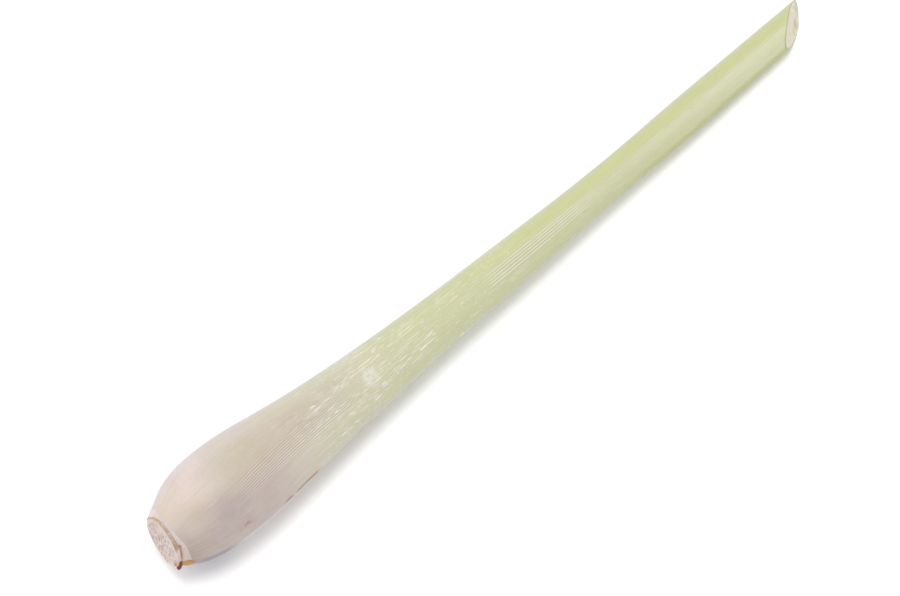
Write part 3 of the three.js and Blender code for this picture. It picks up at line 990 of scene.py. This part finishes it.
def cut_rings(parts_of_row, inside, breadths, inner_breadths):
    """The faces that close one cut of a sheath: each ring ends in a point of both margins, the last row is
    the inner face, and the first ring is zipped to the outer face."""
    outer_face, over_margin, inner_face, under_margin = parts_of_row
    rings = np.concatenate([under_margin[::-1, None], inside, over_margin[:, None]], 1)
    rings = np.concatenate([rings, inner_face[None, ::-1]])
    corners = [rings[:-1, :-1], rings[:-1, 1:], rings[1:, 1:], rings[1:, :-1]]
    return zip_rows(outer_face, breadths, rings[0], inner_breadths), np.stack(corners, -1).reshape(-1, 4)


def rolled_sheath(name, layer, breadths, inner_step, rows, start, materials, relief=no_relief):
    """A sheath as one closed sheet. Its section runs round the outer face, the rounded over margin, the inner
    face backwards and the rounded under margin, and is carried along the stalk. The wall is closed at both
    cuts by rings that step from the outer face inwards."""
    # The inner face has fine steps near both margins, where its wall thins.
    inner_breadths = stepped([(6, 0.5), (330, inner_step), (370, 1.0), (SHEET_DEGREES, 0.6)])

    def station_of(breadth):
        """The station of each row: its share of the way from the sheath's start to the leaf cut."""
        first = start(sheet_bearing(layer, breadth, 0.0)) + 0 * breadth
        return first + (STALK_LENGTH - first) * rows[:, None]

    station, inner_station = station_of(breadths), station_of(inner_breadths)
    bearing = sheet_bearing(layer, breadths, station / STALK_LENGTH)
    inner_bearing = sheet_bearing(layer, inner_breadths, inner_station / STALK_LENGTH)
    bumps, rib = relief(breadths, station / STALK_LENGTH, bearing)
    radius = sheath_radii(layer, station, breadths)[0] + bumps
    outside, inner_radius = sheath_radii(layer, inner_station, inner_breadths)

    def margin(column, side, depth):
        """A rounded margin between the faces: it bulges sideways by half of the margin's wall."""
        bulge = (1 - (2 * depth - 1) ** 2) * np.degrees(0.5 * MARGIN_WALL / radius[:, column, None])
        between = radius[:, column, None] * (1 - depth) + inner_radius[:, column, None] * depth
        return station[:, column, None] + 0 * depth, bearing[:, column, None] + side * bulge, between

    section = zip(
        (station, bearing, radius),
        margin(-1, 1, WALL_DEPTHS),
        (inner_station[:, ::-1], inner_bearing[:, ::-1], inner_radius[:, ::-1]),
        margin(0, -1, WALL_DEPTHS[::-1]),
    )
    station_rows, bearing_rows, radius_rows = (np.concatenate(parts, 1) for parts in section)
    body = place(station_rows, bearing_rows, radius_rows)
    count, columns = body.shape[:2]
    lengths = [len(breadths), len(WALL_DEPTHS), len(inner_breadths)]
    parts_of_row = np.split(np.arange(columns), np.cumsum(lengths))

    depth, middle = WALL_DEPTHS[:, None], inner_breadths[1:-1]
    ring_size = depth.size * middle.size
    uneven = 0.03 * MM * waves(middle * 60, depth * 3, 9, 1.5, 77 + layer)
    points, faces = [body.reshape(-1, 3)], [grid_faces(count, columns)[0]]
    for cut, row in enumerate((0, count - 1)):
        ring_radius = outside[row, 1:-1] * (1 - depth) + inner_radius[row, 1:-1] * depth
        ring = place(inner_station[row, 1:-1] + uneven, inner_bearing[row, 1:-1], ring_radius)
        points.append(ring.reshape(-1, 3))
        inside = count * columns + cut * ring_size + np.arange(ring_size).reshape(depth.size, -1)
        closing = cut_rings([row * columns + part for part in parts_of_row], inside, breadths, inner_breadths)
        faces += [part[:, ::-1] if row == 0 else part for part in closing]

    def whole(on_rows, on_rings):
        """A value for each point of the mesh, from those on the rows of the section and on a cut's rings."""
        ring_values = np.broadcast_to(on_rings, (depth.size, middle.size)).ravel()
        return np.concatenate([np.broadcast_to(on_rows, (count, columns)).ravel(), ring_values, ring_values])

    outer_zeros, inner_ones = np.zeros(len(breadths)), np.ones(len(inner_breadths))
    depth_row = np.concatenate([outer_zeros, WALL_DEPTHS, inner_ones, WALL_DEPTHS[::-1]])
    margin_ones = np.ones(len(WALL_DEPTHS))
    breadth_row = np.concatenate([breadths, margin_ones, inner_breadths[::-1], 0 * margin_ones])
    marks = {
        "rib": whole(np.pad(rib, ((0, 0), (0, columns - len(breadths)))), 0.0),
        "bearing": whole(bearing_rows, CUT_BEARING),
        "depth": whole(depth_row, depth),
    }
    shares = np.append(station_rows / STALK_LENGTH, np.repeat([0.0, 1.0], ring_size))
    uv = np.stack([whole(breadth_row, middle), shares], 1)
    slots = np.repeat([0, 1], [len(faces[0]), sum(len(part) for part in faces[1:])])
    rim = whole(np.isin(rows, (0.0, 1.0))[:, None], False)
    return make_piece(name, np.concatenate(points), faces, materials, uv, slots, marks, rim)


class STALK_OT_outer_sheath(bpy.types.Operator):
    """Build the outermost sheath with its ribs and its stained over margin"""

    bl_idname = "stalk.outer_sheath"
    bl_label = "Outer Sheath"

    def execute(self, context):
        # Fine steps across the ribs and at the over margin, and along the stalk at both ends.
        breadths = stepped([(284, 2.0), (320, 0.5), (371, 0.42), (399, 1.2), (SHEET_DEGREES, 0.5)])
        rows = stepped([(2.5, 0.25), (62, 0.95), (190, 1.7), (205, 0.8), (208.5, 0.3)])
        materials = [skin_material(), flesh_material()]
        piece = rolled_sheath("outer_leaf_sheath", 0, breadths, 9, rows, skin_start, materials, skin_relief)
        wear(piece, "sheath", "outer_sheath")
        return {"FINISHED"}


class STALK_OT_inner_sheaths(bpy.types.Operator):
    """Build the second and the third sheath inside the outer one"""

    bl_idname = "stalk.inner_sheaths"
    bl_label = "Inner Sheaths"

    def execute(self, context):
        materials = [inner_skin_material(), flesh_material("inner_cut_flesh", 0.25)]
        rows = stepped([(180, 6), (204, 1.5), (208.5, 0.5)])
        breadths = stepped([(420, 3.0)])
        for layer, name, node, first in (
            (1, "second_leaf_sheath", "second_sheath", SECOND_SHEATH_START),
            (2, "third_leaf_sheath", "third_sheath", THIRD_SHEATH_START),
        ):
            piece = rolled_sheath(name, layer, breadths, 6, rows, lambda bearing: first, materials)
            wear(piece, "inner_sheath", node)
        return {"FINISHED"}


# ---------------- the heart

class STALK_OT_heart(bpy.types.Operator):
    """Build the tight roll of young leaf at the middle of the stalk"""

    bl_idname = "stalk.heart"
    bl_label = "Heart"

    def execute(self, context):
        wear(leaf_roll(), "heart", "heart_leaf")
        return {"FINISHED"}


def leaf_roll():
    """The heart as a turned solid inside the third sheath: narrower at its root, with a twisting groove down
    its side, and a cut end whose rings rise and fall in a spiral."""
    bearing = all_round(HEART_COLUMNS)
    station_mm = np.concatenate([np.linspace(HEART_START / MM, 200, 40), np.linspace(201.5, 208.5, 8)])
    station = station_mm[:, None] * MM
    filled = 0.72 + 0.28 * smooth(station, HEART_START, HEART_START + 8 * MM)
    groove = 1 - 0.05 * bearing_hump(bearing, 180 + station / MM * HEART_TWIST, 12)
    side = layer_radius(3, station) * filled * groove
    inward = np.array(HEART_RINGS)[:, None]
    spiral = np.cos(np.radians(bearing) + inward * 12)
    cap_station = STALK_LENGTH + 0.05 * MM * spiral * smooth(inward, 0, 0.3)
    radius = np.concatenate([side, side[-1:] * inward])
    points = place(np.concatenate([station + 0 * bearing, cap_station]), bearing, radius)
    poles = np.stack([place(HEART_START, 0, 0.0), place(STALK_LENGTH, 0, 0.0)])
    depth = np.concatenate([np.zeros(side.shape), np.repeat(1 - inward, bearing.size, 1)])
    rim = np.zeros(radius.shape, bool)
    rim[len(side) - 1] = True
    return turned_solid("young_leaf_roll", points, poles, heart_material(), {"depth": depth}, rim)


# ---------------- the stem and its nub

class STALK_OT_stem(bpy.types.Operator):
    """Build the basal stem with its pitted root cut, and the nub at the cut's edge"""

    bl_idname = "stalk.stem"
    bl_label = "Basal Stem"

    def execute(self, context):
        wear(cut_stem(), "stem", "basal_stem")
        wear(stem_nub(), "stem")
        return {"FINISHED"}


def root_pits(y, z):
    """How deep the pits press into the root cut, from 0 to 1: the deepest of the bells round the listed and
    the seeded pits, each narrower than it is high."""
    rng = np.random.default_rng(12)
    turn, out, size, deep = rng.random((4, SEEDED_PITS))
    out = PITTED_RADIUS_MM * np.sqrt(out)
    angle = 2 * np.pi * turn
    seeded = np.stack([out * np.cos(angle), out * np.sin(angle), 0.08 + 0.11 * size, 0.25 + 0.5 * deep], 1)
    pits = np.concatenate([np.array(CHOSEN_PITS), seeded])
    away = np.hypot(y[..., None] - pits[:, 0], (z[..., None] - pits[:, 1]) * PIT_STRETCH)
    return (np.exp(-((away / pits[:, 2]) ** 2)) * pits[:, 3]).max(-1)


def cut_stem():
    """The stem as a turned solid: rings across the cut from its middle, a worn rim, a short side, and the
    blunt cone that the sheaths hide. The pits press the cut inwards and its fibres stand out of it."""
    bearing = all_round(STEM_COLUMNS)
    angle = np.radians(bearing)
    across = (np.linspace(0.02, 1, FACE_RINGS) ** 0.85)[:, None] * FACE_RADIUS
    y, z = across * np.cos(angle) / MM, across * np.sin(angle) / MM
    pit = root_pits(y, z)
    pith = 1 - smooth(np.hypot(y, z) + 0.9 * z / 6 + 0.5 * waves(y, z, 8, 2.0, 3), *PITH_EDGE_MM)
    fibrous = waves(y, z, 20, 0.5, 9) * 0.035 * MM * (0.3 + 0.7 * pith) + waves(y, z, 8, 2.5, 4) * 0.05 * MM
    worn = 0.12 * MM * smooth(across / FACE_RADIUS, 0.92, 1.0)
    cut_station = STEM_FACE + sizes().pit_depth * pit - fibrous + worn

    side_station, side_radius = np.array(STEM_SIDE_MM).T[:, :, None] * MM
    edge_wobble = 0.02 * MM * waves(angle * 4, side_station / MM, 8, 2.5, 8)
    side_radius = side_radius + edge_wobble * smooth(side_station, 1.6 * MM, 0)
    bulging = [smooth(across / FACE_RADIUS, 0.6, 1), 1 - smooth(side_station, 0.7 * MM, 1.6 * MM)]
    bulge = 1 + (stem_bulge(bearing) - 1) * np.concatenate(bulging)
    radius = np.concatenate([across + 0 * bearing, side_radius]) * bulge
    points = place(np.concatenate([cut_station, side_station + 0 * bearing]), bearing, radius)
    poles = np.stack([place(STEM_FACE, 0, 0.0), place(STEM_END, 0, 0.0)])

    turns = bearing + 0 * radius
    outward = radius / FACE_RADIUS
    side_zeros = np.zeros((len(STEM_SIDE_MM), bearing.size))
    beyond = np.concatenate([np.zeros(cut_station.shape), side_zeros + 1])
    marks = {
        "pit": np.concatenate([pit, side_zeros]),
        "pith": np.concatenate([pith, side_zeros]),
        "side": beyond * (0.75 + 0.25 * hump(turns, 125, 50)) * (1 - 0.75 * smooth(turns, 142, 152)),
        "stain": smooth(outward, 0.975, 1.015) * hump(turns, 40, 34) * (1 - 0.75 * beyond),
        "scorch": smooth(outward, 0.925, 0.99) * hump(turns, 197, 11),
    }
    return turned_solid("root_cut_stem", points, poles, stem_material(), marks)


def stem_nub():
    """A small lump on the rim of the root cut: a ball with a seeded unevenness, flattened against the cut."""
    middle = place(*NUB_PLACE)
    polar = np.linspace(0, np.pi, NUB_ROWS)[1:-1, None]
    turn = all_round(NUB_COLUMNS, 2 * np.pi)
    radius = sizes().nub_radius * (1 + 0.12 * waves(turn * 2, polar * 2, 9, 1.8, 6))
    across = np.sin(polar)
    out = np.stack([-np.cos(polar) + 0 * turn, across * np.cos(turn), across * np.sin(turn)], -1)
    points = middle + out * radius[..., None] * NUB_SHAPE
    poles = middle + np.array([[-1.0, 0, 0], [1.0, 0, 0]]) * NUB_SHAPE * sizes().nub_radius
    return turned_solid("root_cut_nub", points, poles, nub_material(middle[0].item()))


# ---------------- the pared stub

class STALK_OT_stub(bpy.types.Operator):
    """Build the pared stub that an older sheath left round the root cut"""

    bl_idname = "stalk.stub"
    bl_label = "Sheath Stub"

    def execute(self, context):
        wear(pared_stub(), "stub", "peeled_sheath_stub")
        return {"FINISHED"}


def stub_marks(bearing, climb):
    """The stub's pink lip, its lower facet and its brown crease, from the bearing and the share of the way
    up the bevel: bands and bells of the bearing, and for the crease falls along the way up."""
    top = hump(bearing, 34, 20)
    # the lower facet, which the finish greys with painted shade
    facet = band(bearing, 143, 147, 196, 205)
    seam = (1 - smooth(climb, 0.12, 0.27 + 0.2 * hump(bearing, 143, 5))) * hump(bearing, 157, 19)
    hook = 0.95 * (1 - smooth(climb, 0.3, 0.55)) * hump(bearing, 141, 3.5)
    lip = 1 - np.clip(top + facet, 0, 1)
    return {"lip": lip, "facet": facet, "crease": np.maximum(seam, hook) * (1 - top)}


def pared_stub():
    """A ring carried round the axis: its outline runs from the crease beside the stem up the pared bevel to
    the skin, and back under the skin. The bevel's stations come from the two curves round the root end."""
    bearing = all_round(STUB_COLUMNS)
    first, last = bevel_start(bearing), skin_start(bearing) + 0.04 * MM
    low = MM * along(STEM_SIDE_MM[:5], np.clip(first / MM, -0.6, 0.4)) * stem_bulge(bearing) + 0.05 * MM
    high = girth(last) - 0.03 * MM
    up = BEVEL_SHARES[:, None]
    bow = 0.1 * MM * np.sin(np.pi * up)
    uneven = 0.03 * MM * waves(bearing / 6, up * 2, 10, 2.0, 21)
    bevel_station = first + (last - first) * up - (bow + uneven) * np.sin(np.pi * up)
    back_station = last + 0.5 * MM
    station = np.concatenate([bevel_station, back_station, back_station])
    back_radius = [high - 0.12 * MM, STEM_RADIUS * stem_bulge(bearing) + 0.06 * MM]
    radius = np.concatenate([low + (high - low) * up, *back_radius])
    points = place(station, bearing, radius)
    rows, columns = points.shape[:2]
    quads, corner_j, corner_i = grid_faces(rows, columns, close_rows=True)
    uv = np.stack([corner_i / columns, corner_j / rows], -1).reshape(-1, 2)
    marks = stub_marks(bearing + 0 * radius, np.concatenate([up, [[1.0], [0.0]]]) + 0 * bearing)
    crisp_rows = np.isin(np.arange(rows), [0, len(up) - 1, len(up), len(up) + 1])
    rim = np.repeat(crisp_rows, columns)
    points = points.reshape(-1, 3)
    return make_piece("pared_sheath_stub", points, [quads], [stub_material()], uv, marks=marks, rim=rim)


# ---------------- the husk

class STALK_OT_husk(bpy.types.Operator):
    """Build the dried tatter of husk that clings to the root end"""

    bl_idname = "stalk.husk"
    bl_label = "Husk"

    def execute(self, context):
        wear(dried_husk(), "husk", "husk_sliver")
        return {"FINISHED"}


def dried_husk():
    """A thin sliver that lies along the pared bevel: a lens across, with fibres along its top, thick and
    scorched at the stem, and narrowing to a ragged tip on the skin."""
    t = np.linspace(0, 1, HUSK_ROWS)[:, None]
    station = HUSK_START + HUSK_LENGTH * t
    centre = HUSK_BEARING + 7 * (1 - smooth(t, 0, 0.3)) - 2 * t
    half = HUSK_HALF_DEGREES * (1 - 0.7 * smooth(t, 0.6, 1.0)) * (0.7 + 0.3 * smooth(t, 0, 0.15))
    turn = all_round(HUSK_COLUMNS, 2 * np.pi)
    side = np.cos(turn)
    ragged = 1 + 0.08 * waves(t * 9, side, 8, 2.0, 14)
    scorched_end = 1 - smooth(t, 0.12, 0.34)
    thickness = sizes().husk_thickness * (0.55 + 0.45 * np.sin(np.pi * t) ** 0.5 + 1.7 * scorched_end)
    bed = STEM_RADIUS + 0.01 * MM + 0.66 * np.maximum(station, 0)
    above = np.maximum(np.sin(turn), 0)
    lift = thickness * (above + 0.1 * np.minimum(np.sin(turn), 0)) + 0.03 * MM * np.cos(side * 14) * above
    points = place(station + 0 * turn, centre - half * side * ragged, bed + lift)
    poles = np.stack([place(*end) for end in HUSK_ENDS])
    marks = {"edge": side**2 + 0.25 * waves(t * 9, side * 2, 8, 2.0, 23)}
    return turned_solid("dried_husk_sliver", points, poles, husk_material(), marks)


# ---------------- the stage

class STALK_OT_stage(bpy.types.Operator):
    """Set up the floor, the soft studio light and the camera"""

    bl_idname = "stalk.stage"
    bl_label = "Stage"

    def execute(self, context):
        floor = make_floor()
        make_lights()
        make_camera()
        return {"FINISHED"}


def make_floor():
    """A wide plain floor whose surface carries the stalk: one square, with a map from 0 to 1."""
    corners = np.array([[0, 0], [1, 0], [1, 1], [0, 1]])
    points = np.column_stack([(2 * corners - 1) * FLOOR_HALF, np.zeros(4)])
    material = Finish("plain_floor", "floor_white", 0.85, specular=0.2).finish()
    return make_piece("floor", points, [np.array([[0, 1, 2, 3]])], [material], corners)


def make_lights():
    """A bright even surround, a soft light overhead, and a weaker, broader one from each side."""
    scene = bpy.context.scene
    world = bpy.data.worlds.new("studio_surround")
    world.use_nodes = True
    background = world.node_tree.nodes["Background"]
    background.inputs["Color"].default_value = SURROUND_COLOUR
    background.inputs["Strength"].default_value = SURROUND_STRENGTH
    scene.world = world
    for name, size, energy, place_at in LAMPS:
        lamp = bpy.data.lights.new(name, "AREA")
        lamp.shape = "DISK"
        lamp.size = size
        lamp.energy = energy
        light = bpy.data.objects.new(name, lamp)
        light.location = place_at
        light.rotation_euler = (-light.location).to_track_quat("-Z", "Y").to_euler()
        scene.collection.objects.link(light)
    scene.view_settings.view_transform = "Standard"


def make_camera():
    """The camera on its own line of sight, with the stalk running from low left to high right."""
    scene = bpy.context.scene
    azimuth, elevation = np.radians(VIEW_AZIMUTH), np.radians(VIEW_ELEVATION)
    level = np.cos(elevation)
    back = Vector((np.sin(azimuth) * level, -np.cos(azimuth) * level, np.sin(elevation)))
    lens = bpy.data.cameras.new("camera")
    lens.lens = VIEW_LENS
    lens.sensor_width = 36
    lens.clip_start = 0.01
    camera = bpy.data.objects.new("camera", lens)
    camera.location = Vector(VIEW_TARGET) + back * VIEW_DISTANCE
    camera.rotation_euler = back.to_track_quat("Z", "Y").to_euler()
    scene.collection.objects.link(camera)
    scene.camera = camera


class STALK_PT_panel(bpy.types.Panel):
    """Lists the stalk's pieces, sizes and colours"""

    bl_idname = "STALK_PT_panel"
    bl_label = "Lemongrass Stalk"
    bl_space_type = "VIEW_3D"
    bl_region_type = "UI"
    bl_category = "Lemongrass"

    def draw(self, context):
        for operator in OPERATORS:
            self.layout.operator(operator.bl_idname)
        for group in (context.scene.stalk_sizes, context.scene.stalk_colours):
            box = self.layout.box()
            for name in group.__annotations__:
                box.prop(group, name)


OPERATORS = (
    STALK_OT_outer_sheath,
    STALK_OT_inner_sheaths,
    STALK_OT_heart,
    STALK_OT_stem,
    STALK_OT_stub,
    STALK_OT_husk,
    STALK_OT_stage,
)
CLASSES = (StalkSizes, StalkColours, *OPERATORS, STALK_PT_panel)


def register():
    """Registers every class, and hangs the settings on the scene."""
    for cls in CLASSES:
        bpy.utils.register_class(cls)
    bpy.types.Scene.stalk_sizes = PointerProperty(type=StalkSizes)
    bpy.types.Scene.stalk_colours = PointerProperty(type=StalkColours)


def unregister():
    """Takes the settings off the scene, and unregisters every class."""
    del bpy.types.Scene.stalk_colours
    del bpy.types.Scene.stalk_sizes
    for cls in reversed(CLASSES):
        bpy.utils.unregister_class(cls)


def main():
    """Builds the stalk and its stage."""
    register()
    bpy.ops.stalk.outer_sheath()
    bpy.ops.stalk.inner_sheaths()
    bpy.ops.stalk.heart()
    bpy.ops.stalk.stem()
    bpy.ops.stalk.stub()
    bpy.ops.stalk.husk()
    bpy.ops.stalk.stage()
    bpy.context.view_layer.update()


if __name__ == "__main__":
    main()
